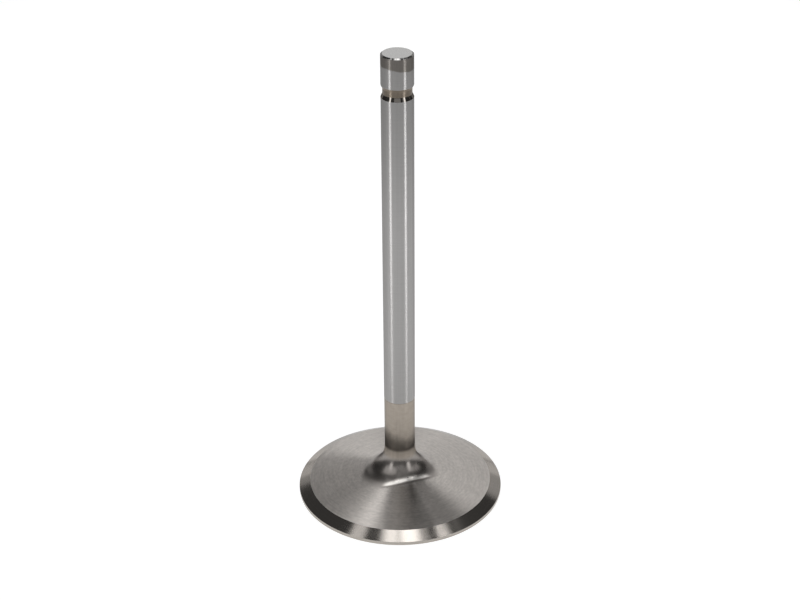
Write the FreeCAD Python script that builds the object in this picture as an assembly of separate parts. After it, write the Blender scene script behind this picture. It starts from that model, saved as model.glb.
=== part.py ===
import FreeCAD
import Part
import math
import os

# Engine valve, forged and turned as one piece, standing on its combustion face.
# Millimetres. +Z runs up the stem, and the origin is the centre of the combustion face.

# The whole valve
overallLength = 133.2
stemDiameter = 8.69

# Head
headDiameter = 58.2
faceEdgeBreak = 0.15
marginHeight = 0.95
seatAngle = 30.0
seatWidth = 3.65
backAngle = 12.0

# Neck, between the back of the head and the plated length of the stem
neckDiameter = 8.62
neckFilletRadius = 8.0
platingEnd = 30.4
platingRunOut = 0.2

# Keeper groove, measured down from the tip
capHeight = 8.55
grooveDepth = 0.44
grooveUpperShoulder = 0.75
grooveRootWidth = 1.5
grooveLowerShoulder = 1.05
grooveRootFillet = 0.4
grooveEdgeRound = 0.8

# Tip
tipChamferWidth = 0.44
tipChamferHeight = 0.33

# A fillet takes at most this share of the shorter straight that it joins
filletShare = 0.95


def point(corner):
    """The place of a profile corner, in the plane of the section."""
    radius, height, fillet = corner
    return FreeCAD.Vector(radius, 0, height)


def headCorners():
    """Combustion face, margin and seat, from the axis out and back in."""
    headRadius = headDiameter / 2
    slope = math.radians(seatAngle)
    marginTop = faceEdgeBreak + marginHeight
    seatRadius = headRadius - seatWidth * math.cos(slope)
    seatTop = marginTop + seatWidth * math.sin(slope)
    return [
        (0, 0, 0),
        (headRadius - faceEdgeBreak, 0, 0),
        (headRadius, faceEdgeBreak, 0),
        (headRadius, marginTop, 0),
        (seatRadius, seatTop, 0),
    ]


def neckCorners(seatCorner):
    """Where the back cone meets the neck, and the run-out up to the plated stem."""
    seatRadius, seatTop, fillet = seatCorner
    neckRadius = neckDiameter / 2
    backRise = (seatRadius - neckRadius) * math.tan(math.radians(backAngle))
    return [
        (neckRadius, seatTop + backRise, neckFilletRadius),
        (neckRadius, platingEnd - platingRunOut, 0),
        (stemDiameter / 2, platingEnd, 0),
    ]


def grooveCorners():
    """Keeper groove, from its lower shoulder up to the cap above it."""
    stemRadius = stemDiameter / 2
    rootRadius = stemRadius - grooveDepth
    capBottom = overallLength - capHeight
    rootTop = capBottom - grooveUpperShoulder
    rootBottom = rootTop - grooveRootWidth
    return [
        (stemRadius, rootBottom - grooveLowerShoulder, 0),
        (rootRadius, rootBottom, grooveRootFillet),
        (rootRadius, rootTop, grooveRootFillet),
        (stemRadius, capBottom, grooveEdgeRound),
    ]


def tipCorners():
    """Chamfered tip, back to the axis."""
    stemRadius = stemDiameter / 2
    return [
        (stemRadius, overallLength - tipChamferHeight, 0),
        (stemRadius - tipChamferWidth, overallLength, 0),
        (0, overallLength, 0),
    ]


def roundedCorner(before, corner, after):
    """Start, middle and end of the arc that is tangent to both sides of a corner."""
    here = point(corner)
    back = point(before) - here
    ahead = point(after) - here
    room = filletShare * min(back.Length, ahead.Length)
    halfAngle = back.getAngle(ahead) / 2
    reach = min(corner[2] / math.tan(halfAngle), room)
    back.normalize()
    ahead.normalize()
    inward = (back + ahead).normalize()
    radius = reach * math.tan(halfAngle)
    middle = here + inward * (radius / math.sin(halfAngle) - radius)
    return here + back * reach, middle, here + ahead * reach


def profileEdges(corners):
    """Straights and arcs through the corners, in order."""
    edges = []
    start = point(corners[0])
    for before, corner, after in zip(corners, corners[1:], corners[2:]):
        if corner[2] == 0:
            edges.append(Part.LineSegment(start, point(corner)).toShape())
            start = point(corner)
            continue
        arcStart, arcMiddle, arcEnd = roundedCorner(before, corner, after)
        edges.append(Part.LineSegment(start, arcStart).toShape())
        edges.append(Part.Arc(arcStart, arcMiddle, arcEnd).toShape())
        start = arcEnd
    edges.append(Part.LineSegment(start, point(corners[-1])).toShape())
    return edges


def valve():
    """One solid of revolution about the stem's axis."""
    head = headCorners()
    corners = head + neckCorners(head[-1]) + grooveCorners() + tipCorners()
    edges = profileEdges(corners)
    axis = Part.LineSegment(point(corners[-1]), point(corners[0])).toShape()
    section = Part.Face(Part.Wire(edges + [axis]))
    solid = section.revolve(FreeCAD.Vector(0, 0, 0), FreeCAD.Vector(0, 0, 1), 360)
    if solid.ShapeType != "Solid" or not solid.isValid():
        raise ValueError("the valve is not one valid solid")
    return solid


os.makedirs("parts", exist_ok=True)
body = valve()
body.exportStep("parts/valve.step")
print("valve", round(body.Volume, 1), "mm3", body.BoundBox)
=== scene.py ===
import math

import bmesh
import bpy
from mathutils import Matrix, Vector


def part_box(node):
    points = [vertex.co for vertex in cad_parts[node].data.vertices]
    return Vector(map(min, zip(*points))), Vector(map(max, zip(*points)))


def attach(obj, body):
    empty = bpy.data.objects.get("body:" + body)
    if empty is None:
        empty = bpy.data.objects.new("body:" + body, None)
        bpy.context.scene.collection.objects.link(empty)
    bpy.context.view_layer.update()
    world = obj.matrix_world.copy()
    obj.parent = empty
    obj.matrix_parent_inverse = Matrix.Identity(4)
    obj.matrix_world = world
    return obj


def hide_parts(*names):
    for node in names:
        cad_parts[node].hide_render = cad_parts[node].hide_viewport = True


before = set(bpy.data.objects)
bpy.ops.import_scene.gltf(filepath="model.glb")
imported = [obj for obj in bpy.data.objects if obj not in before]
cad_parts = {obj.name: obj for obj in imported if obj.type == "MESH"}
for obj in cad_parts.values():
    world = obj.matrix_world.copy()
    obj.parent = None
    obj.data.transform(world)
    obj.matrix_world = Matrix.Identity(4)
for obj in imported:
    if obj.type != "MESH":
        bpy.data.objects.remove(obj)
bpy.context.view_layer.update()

scene = bpy.context.scene
scene.view_settings.view_transform = "Standard"

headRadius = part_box("valve")[1].x
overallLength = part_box("valve")[1].z
mm = 0.001


# Camera, where the photograph was taken from
photoCamera = {
    "place": (0, -0.42404, 0.29924),
    "aim": (0.000319, 0, 0.061334),
    "lens": 80.075,
    "sensor": 36,
    "roll": -0.389,
    "clipStart": 0.01,
}


def setCamera(look):
    lens = bpy.data.cameras.new("camera")
    lens.lens = look["lens"]
    lens.sensor_width = look["sensor"]
    lens.clip_start = look["clipStart"]
    camera = bpy.data.objects.new("camera", lens)
    scene.collection.objects.link(camera)
    backward = Vector(look["place"]) - Vector(look["aim"])
    turn = backward.to_track_quat("Z", "Y").to_matrix().to_4x4()
    roll = Matrix.Rotation(math.radians(look["roll"]), 4, "Z")
    camera.matrix_world = Matrix.Translation(look["place"]) @ turn @ roll
    scene.camera = camera


setCamera(photoCamera)
print("camera set")


# Shader arithmetic: a wrapped socket, so that nodes are written as sums
class Signal:
    def __init__(self, tree, socket=None):
        self.tree = tree
        self.socket = socket

    def node(self, kind, settings=None, values=None, output=0):
        made = self.tree.nodes.new("ShaderNode" + kind)
        for name, value in (settings or {}).items():
            setattr(made, name, value)
        for name, value in (values or {}).items():
            if isinstance(value, Signal):
                self.tree.links.new(value.socket, made.inputs[name])
            else:
                made.inputs[name].default_value = value
        return Signal(self.tree, made.outputs[output])

    def maths(self, operation, first, second=0.0):
        return self.node("Math", {"operation": operation}, {0: first, 1: second})

    def vectors(self, operation, first, second=(0, 0, 0), output=0):
        return self.node("VectorMath", {"operation": operation}, {0: first, 1: second}, output)

    def __add__(self, other):
        return self.maths("ADD", self, other)

    def __radd__(self, other):
        return self.maths("ADD", other, self)

    def __sub__(self, other):
        return self.maths("SUBTRACT", self, other)

    def __rsub__(self, other):
        return self.maths("SUBTRACT", other, self)

    def __mul__(self, other):
        return self.maths("MULTIPLY", self, other)

    def __rmul__(self, other):
        return self.maths("MULTIPLY", other, self)

    def part(self, name):  # X, Y or Z of a vector
        return self.node("SeparateXYZ", values={0: self}, output=name)

    def ease(self, low, high, lowValue=0.0, highValue=1.0):  # a smooth step from low to high
        return self.node("MapRange", {"interpolation_type": "SMOOTHSTEP"},
                         {"Value": self, "From Min": low, "From Max": high,
                          "To Min": lowValue, "To Max": highValue})


acrossTheMarks = 0.25  # a quarter turn: highlights spread across the turning marks


class Metal:  # one material: what its patterns read, and the finishes mixed in it
    def __init__(self, name):
        self.material = bpy.data.materials.new(name)
        self.material.use_nodes = True
        self.tree = self.material.node_tree
        self.tree.nodes.remove(self.tree.nodes["Principled BSDF"])
        self.start = Signal(self.tree)
        self.place = self.start.node("TexCoord", output="Object")
        self.height = self.place.part("Z")
        self.flat = self.start.vectors("MULTIPLY", self.place, (1, 1, 0))
        self.radius = self.start.vectors("LENGTH", self.flat, output="Value")
        self.around = self.start.vectors("NORMALIZE", self.flat)

    def noise(self, ringwise, radial=0.0, along=0.0, detail=2.0, shift=0.0):
        # ringwise: how tight it is round the turn
        # radial and along: bumps a millimetre, outwards and upwards
        turned = self.start.node("VectorMath", {"operation": "SCALE"}, {0: self.around, "Scale": ringwise})
        outAndUp = self.radius * (radial / mm) + self.height * (along / mm)
        offset = self.start.node("CombineXYZ", values={0: shift, 1: shift, 2: outAndUp})
        spot = self.start.vectors("ADD", turned, offset)
        return self.start.node("TexNoise", values={"Vector": spot, "Scale": 1.0, "Detail": detail})

    def grain(self, perMillimetre, detail=2.0):  # even in all directions
        return self.start.node("TexNoise", values={
            "Vector": self.place, "Scale": perMillimetre / mm, "Detail": detail})

    def level(self, look, **patterns):  # the finish's level, and each pattern at its strength there
        total = look["level"]
        for name, pattern in patterns.items():
            total = total + pattern * look[name]
        return total

    def tint(self, colour, level):  # the colour made lighter or darker by a varying level
        grey = self.start.node("CombineXYZ", values={0: level, 1: level, 2: level})
        return self.start.vectors("MULTIPLY", grey, colour)

    def blend(self, mask, low, high):
        return self.start.node("Mix", {"data_type": "RGBA"}, {0: mask, 6: low, 7: high}, output=2)

    def rough(self, look, pattern):
        return look["roughness"] + (pattern - 0.5) * look["roughnessSpread"]

    def finish(self, look, colour, roughness, relief):
        normal = self.start.node("Bump", values={"Height": relief, "Distance": look["depth"] * mm})
        grazing = look.get("grazing", 1.0)  # below 1 the metal stays darker where it is seen edge on
        return self.start.node("BsdfPrincipled", values={
            "Base Color": colour, "Roughness": roughness, "Normal": normal, "Metallic": 1.0,
            "Specular Tint": (grazing, grazing, grazing, 1), "Anisotropic": look["anisotropy"],
            "Anisotropic Rotation": acrossTheMarks if look["anisotropy"] else 0.0})

    def between(self, mask, low, high):
        return self.start.node("MixShader", values={0: mask, 1: low, 2: high})

    def done(self, shader):
        self.tree.links.new(shader.socket, self.tree.nodes["Material Output"].inputs["Surface"])
        return self.material


# Finishes of the valve, from the face up to the tip. Depths are in millimetres. Level is the share of
# the colour with no pattern on it, and each pattern that is named beside it adds its own share.
finishes = {
    "face": {"colour": (0.46, 0.44, 0.42), "roughness": 0.32, "roughnessSpread": 0.06, "anisotropy": 0.8,
             "depth": 0.004, "level": 0.86, "rings": 0.18, "clouds": 0.1},
    "margin": {"colour": (0.393, 0.365, 0.332), "roughness": 0.22, "roughnessSpread": 0.08,
               "anisotropy": 0.7, "depth": 0.004, "level": 0.9, "lines": 0.2},
    "seat": {"colour": (0.552, 0.513, 0.474), "roughness": 0.13, "roughnessSpread": 0.05,
             "anisotropy": 0.0, "grazing": 0.5, "depth": 0.003, "level": 0.9, "lines": 0.1,
             "chatter": 0.1, "chatterRelief": 0.5},
    "back": {"colour": (0.492, 0.462, 0.435), "roughness": 0.3, "roughnessSpread": 0.08,
             "anisotropy": 0.98, "depth": 0.005, "level": 0.45, "rings": 0.4, "strokes": 0.56,
             "clouds": 0.14},
    "fillet": {"colour": (0.33, 0.306, 0.288), "roughness": 0.28, "roughnessSpread": 0.04,
               "anisotropy": 0.0, "grazing": 0.4, "depth": 0.006, "level": 0.82, "peel": 0.2,
               "lines": 0.16, "lineRelief": 0.5},
    # The painted highlight along the cut that ends the polish, a near-white and smoother crescent on the
    # front only: how far inwards of the cut it runs, and the cosines of its turn away from the front at
    # its two sides
    "paintedGlint": {"colour": (0.97, 0.93, 0.88), "roughness": 0.28, "flattening": 0.9,
              "starts": 0.3 * mm, "full": 0.7 * mm, "ends": 2.1 * mm, "fade": 1.0 * mm,
              "towards": (0.276, -0.961, 0), "sideStarts": 0.67, "sideFull": 0.82},
    # Neck: darker in a band above its foot, with a painted sheen that lightens the ring below its foot
    "neck": {"colour": (0.351, 0.312, 0.27), "roughness": 0.33, "roughnessSpread": 0.08,
             "anisotropy": 0.0, "grazing": 0.6, "depth": 0.006, "level": 0.66, "mottle": 0.3,
             "lines": 0.16, "drawn": 0.22, "stain": 0.62, "stainTop": 21.0 * mm,
             "stainFade": 5.0 * mm, "stainLean": 1.6 * mm, "stainRagged": 2.0, "foot": 14.3 * mm,
             "footFade": 0.6 * mm, "footPaintedSheen": 1.25, "footRoughness": 0.5},
    "stem": {"colour": (0.509, 0.501, 0.495), "roughness": 0.36, "roughnessSpread": 0.06,
             "anisotropy": 1.0, "grazing": 0.6, "depth": 0.002, "level": 0.8, "drawn": 0.24,
             "grind": 0.16, "darkensFrom": 80 * mm, "darkensTo": 126 * mm, "darkest": 0.77},
    "shoulder": {"colour": (0.292, 0.271, 0.249), "roughness": 0.1, "roughnessSpread": 0.04,
                 "anisotropy": 0.6, "grazing": 0.15, "depth": 0.003, "level": 0.9, "lines": 0.2},
    "chamfer": {"colour": (0.5, 0.49, 0.48), "roughness": 0.12, "roughnessSpread": 0.04,
                "anisotropy": 0.0, "grazing": 0.3, "depth": 0.003, "level": 0.9, "lines": 0.2},
    "root": {"colour": (0.241, 0.204, 0.165), "roughness": 0.4, "roughnessSpread": 0.06,
             "anisotropy": 0.97, "depth": 0.004, "level": 0.75, "lines": 0.2, "stain": 0.3},
    "tipBand": {"colour": (0.309, 0.287, 0.265), "roughness": 0.42, "starts": 130.25 * mm,
                "full": 130.65 * mm, "dip": 0.98 * mm, "dipSide": 0.95, "ripple": 0.5 * mm},
    "tip": {"colour": (0.301, 0.298, 0.292), "roughness": 0.25, "roughnessSpread": 0.06,
            "anisotropy": 0.0, "depth": 0.002, "level": 0.9, "lines": 0.2, "lineTurn": 0.6,
            "lineScale": (0.3 / mm, 3.0 / mm, 0.3 / mm)},
    # Polished by hand: how far from the axis, behind and in front, up to what height, and the circle of
    # the cut that ends it in front
    "polished": {"behind": 6.2 * mm, "front": 10.7 * mm, "fade": 2.2 * mm, "backStarts": 0.4,
                 "frontStarts": -0.5, "uneven": 1.2 * mm, "cutCentre": (-5.8 * mm, 15.7 * mm, 0),
                 "cutRadius": 25.8 * mm, "cutFade": 0.4 * mm, "top": 11.8 * mm, "topFade": 0.8 * mm},
}


def faceSteel(look):  # fine turning rings on the combustion face
    metal = Metal("combustionFaceSteel")
    rings = metal.noise(0.6, radial=3.0, detail=3)
    clouds = metal.noise(2.0, radial=0.25, shift=4.0)
    colour = metal.tint(look["colour"], metal.level(look, rings=rings, clouds=clouds))
    return metal.done(metal.finish(look, colour, metal.rough(look, clouds), rings))


def marginSteel(look):
    metal = Metal("marginSteel")
    lines = metal.noise(1.5, radial=4.0, along=6.0)
    colour = metal.tint(look["colour"], metal.level(look, lines=lines))
    return metal.done(metal.finish(look, colour, metal.rough(look, lines), lines))


def seatSteel(look):  # ground seat, with faint chatter from the stone
    metal = Metal("groundSeatSteel")
    lines = metal.noise(1.0, radial=5.0, detail=3)
    chatter = metal.noise(30.0, radial=1.0, shift=2.0)
    colour = metal.tint(look["colour"], metal.level(look, lines=lines, chatter=chatter))
    relief = lines + chatter * look["chatterRelief"]
    return metal.done(metal.finish(look, colour, metal.rough(look, lines), relief))


def brushedBack(metal, look):  # the back of the head: turned, then brushed round
    rings = metal.noise(2.5, radial=2.4, detail=4)
    strokes = metal.noise(16.0, radial=1.6, detail=3, shift=3.0)
    clouds = metal.noise(3.0, radial=0.25, shift=9.0)
    colour = metal.tint(look["colour"], metal.level(look, rings=rings, strokes=strokes, clouds=clouds))
    return metal.finish(look, colour, metal.rough(look, strokes), rings + strokes)


def polishedFillet(metal, look, paintedGlint, inside):  # polished by hand, with a painted highlight along its front edge
    peel = metal.grain(1.3)
    lines = metal.noise(3.0, radial=1.5, along=1.5)
    ahead = metal.start.vectors("DOT_PRODUCT", metal.around, paintedGlint["towards"], output="Value")
    # painted highlight: the colour turns near white and smoother in a crescent inside the cut, on the
    # front only
    paintedGlintMask = (inside.ease(paintedGlint["starts"], paintedGlint["full"])
              * inside.ease(paintedGlint["ends"], paintedGlint["ends"] - paintedGlint["fade"])
              * ahead.ease(paintedGlint["sideStarts"], paintedGlint["sideFull"]))
    level = metal.level(look, peel=peel, lines=lines)
    colour = metal.blend(paintedGlintMask, metal.tint(look["colour"], level), metal.tint(paintedGlint["colour"], level))
    roughness = paintedGlintMask * (paintedGlint["roughness"] - look["roughness"]) + metal.rough(look, lines)
    relief = (peel + lines * look["lineRelief"]) * (1.0 - paintedGlintMask * paintedGlint["flattening"])
    return metal.finish(look, colour, roughness, relief)


def bareNeck(metal, look, stainHeight):  # bare steel above the fillet, darker in a band above its foot, with a painted sheen lightening it below the foot
    mottle = metal.grain(0.7, detail=4.0)
    drawn = metal.noise(7.0, along=0.12, detail=3)
    lines = metal.noise(1.5, along=3.0, detail=3, shift=5.0)
    above = metal.height.ease(look["foot"] - look["footFade"], look["foot"] + look["footFade"])
    stain = stainHeight.ease(look["stainTop"], look["stainTop"] - look["stainFade"], 0.0, look["stain"])
    # painted sheen: below the foot the colour is made lighter; above it, darker in a band
    darkBandAndPaintedSheen = above * (1.0 - stain - look["footPaintedSheen"]) + look["footPaintedSheen"]
    smoother = above * (look["roughness"] - look["footRoughness"])
    roughness = smoother + (look["footRoughness"] + (mottle - 0.5) * look["roughnessSpread"])
    level = metal.level(look, mottle=mottle, lines=lines, drawn=drawn) * darkBandAndPaintedSheen
    colour = metal.tint(look["colour"], level)
    return metal.finish(look, colour, roughness, lines + mottle + drawn)


def headSteel(looks):  # back, fillet and neck, each running into the next
    metal = Metal("headSteel")
    edge = looks["polished"]
    stained = looks["neck"]
    uneven = (metal.grain(0.35) - 0.5) * edge["uneven"]
    front = metal.around.part("Y").ease(edge["backStarts"], edge["frontStarts"])
    away = metal.start.vectors("DISTANCE", metal.flat, edge["cutCentre"], output="Value")
    limit = front * (edge["front"] - edge["behind"]) + edge["behind"]
    worn = (metal.radius + uneven - limit).ease(0.0, edge["fade"])
    cut = away.ease(edge["cutRadius"], edge["cutRadius"] + edge["cutFade"])
    brushed = worn.maths("MAXIMUM", worn, cut)
    back = brushedBack(metal, looks["back"])
    fillet = polishedFillet(metal, looks["fillet"], looks["paintedGlint"], edge["cutRadius"] - away)
    bare = metal.height.ease(edge["top"] - edge["topFade"], edge["top"] + edge["topFade"])
    lean = metal.around.part("X") * stained["stainLean"]
    neck = bareNeck(metal, stained, metal.height + uneven * stained["stainRagged"] + lean)
    return metal.done(metal.between(bare, metal.between(brushed, fillet, back), neck))


def stemSteel(look, band):  # ground and plated stem, with the darker hardened band at the tip
    metal = Metal("platedStemSteel")
    drawn = metal.noise(9.0, along=0.012, detail=3)
    grind = metal.noise(0.8, along=2.2, detail=4)
    darker = metal.height.ease(look["darkensFrom"], look["darkensTo"], 1.0, look["darkest"])
    level = metal.level(look, drawn=drawn, grind=grind) * darker
    dip = metal.around.part("X").ease(-band["dipSide"], band["dipSide"], 0.0, band["dip"])
    ripple = metal.noise(3.0, shift=6.0) * band["ripple"]
    hardened = (metal.height + dip + ripple).ease(band["starts"], band["full"])
    colour = metal.blend(hardened, metal.tint(look["colour"], level), metal.tint(band["colour"], level))
    roughness = hardened * (band["roughness"] - look["roughness"]) + metal.rough(look, grind)
    return metal.done(metal.finish(look, colour, roughness, grind))


def turnedSteel(name, look):  # small turned faces: the groove's shoulder and the tip's chamfer
    metal = Metal(name)
    lines = metal.noise(1.0, radial=3.0, along=5.0)
    colour = metal.tint(look["colour"], metal.level(look, lines=lines))
    return metal.done(metal.finish(look, colour, metal.rough(look, lines), lines))


def rootSteel(look):
    metal = Metal("grooveRootSteel")
    lines = metal.noise(2.0, radial=2.0, along=4.0)
    stain = metal.noise(5.0, along=0.4, shift=3.0)
    colour = metal.tint(look["colour"], metal.level(look, lines=lines, stain=stain))
    return metal.done(metal.finish(look, colour, metal.rough(look, lines), lines))


def tipSteel(look):  # ground tip, with straight grinding lines
    metal = Metal("groundTipSteel")
    turned = metal.start.node("Mapping", values={
        "Vector": metal.place, "Rotation": (0, 0, look["lineTurn"]), "Scale": look["lineScale"]})
    lines = metal.start.node("TexNoise", values={"Vector": turned, "Scale": 1.0, "Detail": 3.0})
    colour = metal.tint(look["colour"], metal.level(look, lines=lines))
    return metal.done(metal.finish(look, colour, metal.rough(look, lines), lines))


# Valve: its section, and how finely it is turned
valveShape = {
    "faceEdgeBreak": 0.15 * mm,
    "marginHeight": 0.95 * mm,
    "seatAngle": 30,
    "seatWidth": 3.65 * mm,
    "backAngle": 12,
    "neckRadius": 4.31 * mm,
    "neckFillet": 8.0 * mm,
    "stemRadius": 4.345 * mm,
    "platingEnd": 30.4 * mm,
    "platingRunOut": 0.2 * mm,
    "capHeight": 8.55 * mm,
    "grooveDepth": 0.44 * mm,
    "upperShoulder": 0.75 * mm,
    "rootWidth": 1.5 * mm,
    "lowerShoulder": 1.05 * mm,
    "rootFillet": 0.4 * mm,
    "grooveEdgeRound": 0.8 * mm,
    "chamferWidth": 0.44 * mm,
    "chamferHeight": 0.33 * mm,
    "edgeBreak": 0.04 * mm,  # rounding of the sharp turned edges
    "ringSpacing": 2.0 * mm,
    "guard": 0.08 * mm,  # from the end of a straight to the ring that holds its shading
    "turns": 288,
    "arcStep": 2.5,  # degrees
    "fewestSteps": 3,
    "mergeWithin": 0.0001 * mm,
    "flatWithin": 0.01 * mm,
}


def zoneLimits(shape):  # where one turned zone ends and the next begins
    capBottom = overallLength - shape["capHeight"]
    rootTop = capBottom - shape["upperShoulder"]
    rootBottom = rootTop - shape["rootWidth"]
    return {
        "marginTop": shape["faceEdgeBreak"] + shape["marginHeight"],
        "seatRadius": headRadius - shape["seatWidth"] * math.cos(math.radians(shape["seatAngle"])),
        "grooveBottom": rootBottom - shape["lowerShoulder"],
        "rootBottom": rootBottom,
        "rootTop": rootTop,
        "capBottom": capBottom,
        "chamferBottom": overallLength - shape["chamferHeight"],
    }


def sectionCorners(shape, limits):
    seatRadius = limits["seatRadius"]
    seatTop = limits["marginTop"] + shape["seatWidth"] * math.sin(math.radians(shape["seatAngle"]))
    backRise = (seatRadius - shape["neckRadius"]) * math.tan(math.radians(shape["backAngle"]))
    rootRadius = shape["stemRadius"] - shape["grooveDepth"]
    edge = shape["edgeBreak"]
    return [  # radius, height and rounding, from the middle of the face to the middle of the tip
        (0, 0, 0),
        (headRadius - shape["faceEdgeBreak"], 0, edge),
        (headRadius, shape["faceEdgeBreak"], edge),
        (headRadius, limits["marginTop"], edge),
        (seatRadius, seatTop, edge),
        (shape["neckRadius"], seatTop + backRise, shape["neckFillet"]),
        (shape["neckRadius"], shape["platingEnd"] - shape["platingRunOut"], 0),
        (shape["stemRadius"], shape["platingEnd"], 0),
        (shape["stemRadius"], limits["grooveBottom"], edge),
        (rootRadius, limits["rootBottom"], shape["rootFillet"]),
        (rootRadius, limits["rootTop"], shape["rootFillet"]),
        (shape["stemRadius"], limits["capBottom"], shape["grooveEdgeRound"]),
        (shape["stemRadius"], limits["chamferBottom"], edge),
        (shape["stemRadius"] - shape["chamferWidth"], overallLength, edge),
        (0, overallLength, 0),
    ]


def straightTo(mesh, end, target, shape):  # with a ring close to each end, to hold the shading flat
    start = end.co.copy()
    run = target - start
    guard = min(shape["guard"], run.length / 4)
    count = max(1, round((run.length - 2 * guard) / shape["ringSpacing"]))
    inner = [guard + (run.length - 2 * guard) * step / count for step in range(count + 1)]
    for reach in inner + [run.length]:
        end = bmesh.ops.extrude_vert_indiv(mesh, verts=[end])["verts"][0]
        end.co = start + run.normalized() * reach
    return end


def arcTo(mesh, end, centre, angle, shape):  # a true arc: the last vertex is spun about its centre
    steps = max(shape["fewestSteps"], round(abs(math.degrees(angle)) / shape["arcStep"]))
    arc = bmesh.ops.spin(mesh, geom=[end], cent=centre, axis=(0, 1, 0), angle=angle, steps=steps)
    return [item for item in arc["geom_last"] if isinstance(item, bmesh.types.BMVert)][0]


def drawSection(mesh, corners, shape):
    places = [Vector((radius, 0, height)) for radius, height, rounding in corners]
    end = mesh.verts.new(places[0])
    for index in range(1, len(corners)):
        here = places[index]
        rounding = corners[index][2]
        if not rounding:
            end = straightTo(mesh, end, here, shape)
            continue
        back = (places[index - 1] - here).normalized()
        ahead = (places[index + 1] - here).normalized()
        halfAngle = back.angle(ahead) / 2
        reach = rounding / math.tan(halfAngle)
        centre = here + (back + ahead).normalized() * (rounding / math.sin(halfAngle))
        end = straightTo(mesh, end, here + back * reach, shape)
        side = 1 if (here - places[index - 1]).cross(places[index + 1] - here).y > 0 else -1
        end = arcTo(mesh, end, centre, side * (math.pi - 2 * halfAngle), shape)


def zoneAt(radius, height, shape, limits):  # which finish a face has
    if height < shape["flatWithin"]:
        return "face"
    if height < limits["marginTop"]:
        return "margin"
    if height < shape["platingEnd"]:
        return "seat" if radius > limits["seatRadius"] else "head"
    if height > overallLength - shape["flatWithin"]:
        return "tip"
    if height > limits["chamferBottom"]:
        return "chamfer"
    if limits["grooveBottom"] < height < limits["rootBottom"]:
        return "shoulder"
    return "root" if limits["rootBottom"] <= height < limits["capBottom"] else "stem"


def makeValve(shape, steels):
    mesh = bmesh.new()
    limits = zoneLimits(shape)
    drawSection(mesh, sectionCorners(shape, limits), shape)
    bmesh.ops.spin(mesh, geom=mesh.verts[:] + mesh.edges[:], cent=(0, 0, 0), axis=(0, 0, 1),
                   angle=math.tau, steps=shape["turns"], use_merge=True)
    bmesh.ops.remove_doubles(mesh, verts=mesh.verts, dist=shape["mergeWithin"])
    bmesh.ops.recalc_face_normals(mesh, faces=mesh.faces)
    zones = list(steels)
    for face in mesh.faces:
        middle = face.calc_center_median()
        zone = zoneAt(math.hypot(middle.x, middle.y), middle.z, shape, limits)
        face.material_index = zones.index(zone)
        face.smooth = True
    data = bpy.data.meshes.new("valve_body")
    mesh.to_mesh(data)
    print("valve", len(mesh.faces), "faces")
    mesh.free()
    for steel in steels.values():
        data.materials.append(steel)
    valve = bpy.data.objects.new("valve_body", data)
    scene.collection.objects.link(valve)
    return valve


steels = {
    "face": faceSteel(finishes["face"]),
    "margin": marginSteel(finishes["margin"]),
    "seat": seatSteel(finishes["seat"]),
    "head": headSteel(finishes),
    "stem": stemSteel(finishes["stem"], finishes["tipBand"]),
    "shoulder": turnedSteel("grooveShoulderSteel", finishes["shoulder"]),
    "chamfer": turnedSteel("tipChamferSteel", finishes["chamfer"]),
    "root": rootSteel(finishes["root"]),
    "tip": tipSteel(finishes["tip"]),
}
valve = makeValve(valveShape, steels)
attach(valve, "root")
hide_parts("valve")
print("valve made")


# Floor: a pale disc with a painted pool of light, glowing brightest round the valve
floorLook = {
    "radius": 40.0,
    "sides": 96,
    "colour": (0.38, 0.38, 0.38),
    "glow": 0.9,
    "farGlow": 0.5,
    "poolMiddle": (0, 0.17, 0),
    "poolShape": (1.6, 1.0, 1.0),
    "glowEnds": 0.31,
    "farStarts": 0.65,
}


def makeFloor(look):
    mesh = bmesh.new()
    bmesh.ops.create_circle(mesh, cap_ends=True, segments=look["sides"], radius=look["radius"])
    data = bpy.data.meshes.new("floor")
    mesh.to_mesh(data)
    mesh.free()
    floor = bpy.data.objects.new("floor", data)
    scene.collection.objects.link(floor)
    material = bpy.data.materials.new("paleFloor")
    material.use_nodes = True
    tree = material.node_tree
    start = Signal(tree)
    shader = tree.nodes["Principled BSDF"]
    shader.inputs["Base Color"].default_value = (*look["colour"], 1)
    shader.inputs["Roughness"].default_value = 1.0
    shader.inputs["Specular IOR Level"].default_value = 0.0
    place = start.node("TexCoord", output="Object")
    shifted = start.vectors("SUBTRACT", place, look["poolMiddle"])
    away = start.vectors("LENGTH", start.vectors("MULTIPLY", shifted, look["poolShape"]), output="Value")
    seen = (start.node("LightPath", output="Is Camera Ray")
            + start.node("LightPath", output="Is Glossy Ray")
            + start.node("LightPath", output="Is Transmission Ray"))
    # painted pool of light: the glow is strongest round the valve and falls off further out
    glow = away.ease(look["glowEnds"], look["farStarts"], look["glow"], look["farGlow"]) * seen
    shader.inputs["Emission Color"].default_value = (1, 1, 1, 1)
    tree.links.new(glow.socket, shader.inputs["Emission Strength"])
    data.materials.append(material)
    return floor


floor = makeFloor(floorLook)
print("floor laid")


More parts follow.
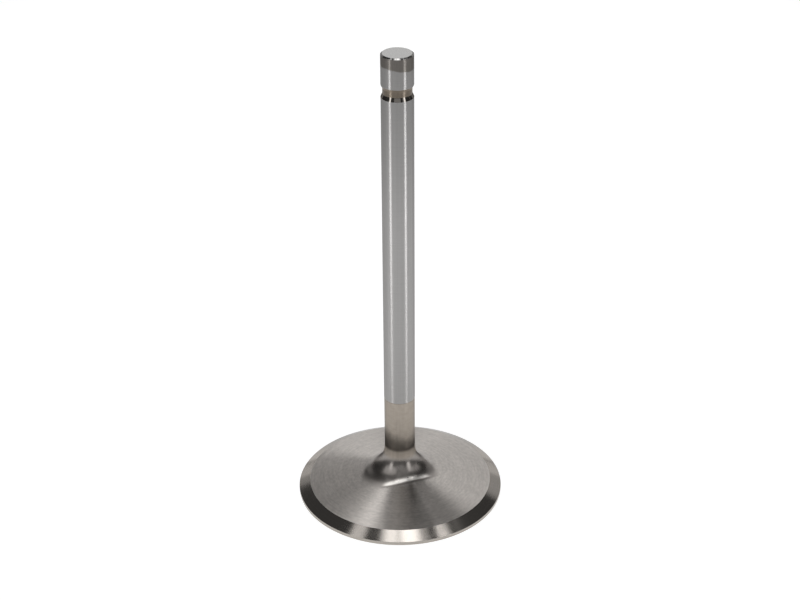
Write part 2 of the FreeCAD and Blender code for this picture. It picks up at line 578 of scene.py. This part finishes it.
# Lights: soft panels far round the valve, and a strip close to each side of the stem.
# A strip has its azimuth and brightness. A panel has its azimuth, counted from the camera's side, its
# elevation, roll, half width and half height, all in degrees as seen from the valve, and its brightness.
studio = {
    "reach": 3.0,
    "ambient": 0.05,
    "strip": {"reach": 0.16, "width": 0.031, "bottom": 0.045, "top": 0.175, "spread": 52},
    "stemStrips": {
        "leftStemStrip": (-51.5, 0.35),
        "rightStemStrip": (51.5, 0.35),
    },
    "panels": {
        "backWall": (175, 30, 41, 7, 24, 0.93),
        "backSoftbox": (165, 20, 12, 25, 20, 0.36),
        "backLow": (180, 10, 0, 30, 8, 0.31),
        "leftBackWall": (-153, 10, -20, 6, 32, 0.32),
        "leftBackStrip": (-161, 58, -29, 3, 25, 1.5),
        "leftBackHigh": (-151, 70, -30, 3.5, 16, 0.8),
        "rightBackStrip": (129, 52, 27, 3, 14, 0.4),
        "rightBackHigh": (116, 57, 52, 3.5, 8.5, 0.15),
        "rightBackLow": (140, 47, 60, 3.5, 10, 0.75),
        "rightSoftbox": (86, 28, 66, 10, 21, 0.52),
        "frontLeftSoftbox": (-57, 40, 13, 26, 15, 0.76),
        "frontRightSoftbox": (41, 40, -53, 25, 14, 0.28),
        "frontSoftbox": (0, 31, -2, 21, 12, 0.4),
        "frontLeftStrip": (-53, 25, 20, 3.6, 10, 1.1),
        "frontLeftFoot": (-51, 7, 0, 5, 6, 0.27),
        "frontLeftLow": (-51, 19, 0, 4.2, 6, 0.6),
        "frontLeftHigh": (-51, 32, 0, 5, 7, 0.5),
        "frontRightStrip": (52, 27, -14, 4.6, 15, 1.1),
        "frontRightFoot": (51, 7, 0, 5, 6, 0.55),
        "frontRightLow": (51, 19, 0, 4.2, 6, 0.6),
        "frontRightHigh": (51, 32, 0, 5, 7, 0.5),
        "overheadFront": (-13, 70.5, -73, 25, 3, 0.73),
        "overhead": (-13, 88, -30, 18, 3, 0.7),
        "overheadMiddle": (0, 84.3, 0, 10.8, 3.5, 1.02),
        "overheadWide": (0, 84.3, 0, 10.8, 7, 0.3),
        "overheadRight": (48, 79, 39, 3.5, 8, 0.6),
        "ceilingLeft": (-90, 67, 0, 3, 4.2, 0.92),
        "ceilingRight": (91, 66.5, 0, 3, 3.6, 0.59),
        "ceilingRightFront": (79, 64.5, 40, 3.7, 3, 2.6),
    },
}


def addLamp(name, outward, place, size, roll, brightness, spread=math.pi):  # facing the valve
    rightward = Vector((0, 0, 1)).cross(outward).normalized()
    axes = Matrix((rightward, outward.cross(rightward), outward)).transposed().to_4x4()
    light = bpy.data.lights.new(name, "AREA")
    light.shape = "RECTANGLE"
    light.size, light.size_y = size
    light.spread = spread
    light.energy = brightness * math.pi * light.size * light.size_y
    lamp = bpy.data.objects.new(name, light)
    lamp.visible_camera = False
    lamp.matrix_world = Matrix.Translation(place) @ axes @ Matrix.Rotation(math.radians(roll), 4, "Z")
    scene.collection.objects.link(lamp)


def panelLight(name, azimuth, elevation, roll, halfWidth, halfHeight, brightness, reach):
    turn = math.radians(azimuth)
    lift = math.radians(elevation)
    outward = Vector((math.cos(lift) * math.sin(turn), -math.cos(lift) * math.cos(turn), math.sin(lift)))
    size = [2 * reach * math.tan(math.radians(half)) for half in (halfWidth, halfHeight)]
    addLamp(name, outward, outward * reach, size, roll, brightness)


def stemStrip(name, azimuth, brightness, look):  # a narrow gridded strip beside the stem, for its streak
    turn = math.radians(azimuth)
    outward = Vector((math.sin(turn), -math.cos(turn), 0))
    middle = Vector((0, 0, (look["bottom"] + look["top"]) / 2))
    size = (look["width"], look["top"] - look["bottom"])
    place = outward * look["reach"] + middle
    addLamp(name, outward, place, size, 0, brightness, math.radians(look["spread"]))


def setStudio(look):
    world = bpy.data.worlds.new("studio")
    world.use_nodes = True
    background = world.node_tree.nodes["Background"]
    background.inputs["Color"].default_value = (1, 1, 1, 1)
    background.inputs["Strength"].default_value = look["ambient"]
    scene.world = world
    for name, panel in look["panels"].items():
        panelLight(name, *panel, look["reach"])
    for name, strip in look["stemStrips"].items():
        stemStrip(name, *strip, look["strip"])


setStudio(studio)
print("studio lit")
